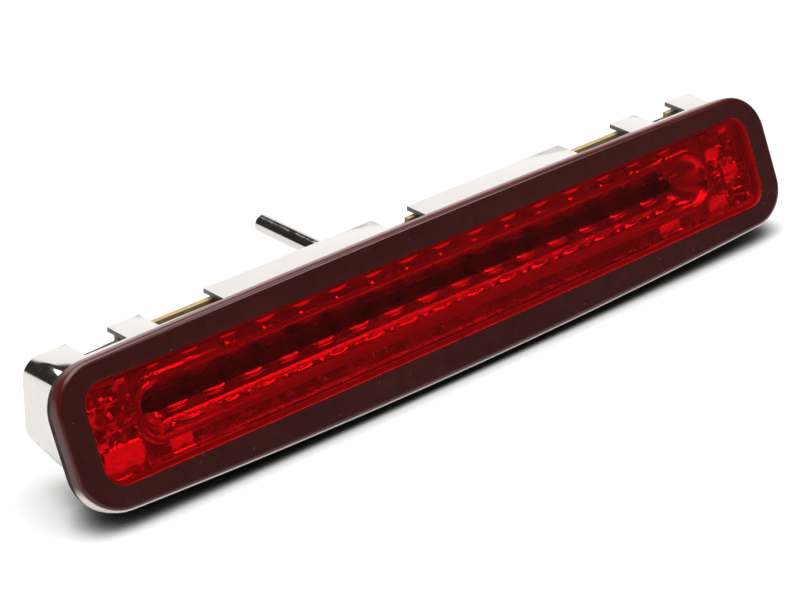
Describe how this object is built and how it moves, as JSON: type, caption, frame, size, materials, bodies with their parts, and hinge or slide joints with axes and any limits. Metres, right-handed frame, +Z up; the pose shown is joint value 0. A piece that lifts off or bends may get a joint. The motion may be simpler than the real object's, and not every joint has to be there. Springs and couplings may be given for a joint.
{
  "type": "high-mounted brake light",
  "caption": "Long high-mounted brake light: red lens in a dark rim, chromed housing with a notched top wall, stepped reflector, LED boards and a rear locating pin.",
  "frame": {"origin": "half way between the two fixing bosses, on the plane of their mouths at the housing's rear edge", "axes": "+X to the right seen from the front, along the lamp's length; +Y rearwards out of the fixing bosses, into the vehicle; +Z up. The lens faces -Y and leans back 23.9 degrees."},
  "size_m": [0.2742, 0.0666, 0.0431],
  "materials": {
    "red_lens": "clear red polycarbonate, polished face with fluted back",
    "dark_rim": "very dark red moulded rim, high gloss",
    "foam": "dark grey-brown closed-cell foam",
    "bright_plating": "bright metallised plastic",
    "phenolic_board": "tan phenolic laminate with copper tracks on its rear",
    "led_resin": "water-clear epoxy",
    "screw_steel": "zinc-plated steel",
    "solder": "bright solder",
    "component_black": "black moulding compound",
    "tinned_wire": "tinned copper wire",
    "tinned_brass": "stamped brass"
  },
  "bodies": {
    "root": {"lens": "red_lens", "lens_rim": "dark_rim", "gasket": "foam", "housing": "bright_plating", "reflector": "bright_plating", "locating_pin": "bright_plating", "led_01": "led_resin", "led_02": "led_resin", "led_03": "led_resin", "led_04": "led_resin", "led_05": "led_resin", "led_06": "led_resin", "led_07": "led_resin", "led_08": "led_resin", "led_09": "led_resin", "led_10": "led_resin", "led_11": "led_resin", "led_12": "led_resin", "led_13": "led_resin", "led_14": "led_resin", "led_15": "led_resin", "led_16": "led_resin", "left_board": "phenolic_board", "right_board": "phenolic_board", "left_end_board": "phenolic_board", "right_end_board": "phenolic_board", "board_screws": "screw_steel", "solder_joints": "solder", "resistors": "component_black", "diodes": "component_black", "wire_links": "tinned_wire", "feed_tabs": "tinned_brass"}
  },
  "joints": []
}
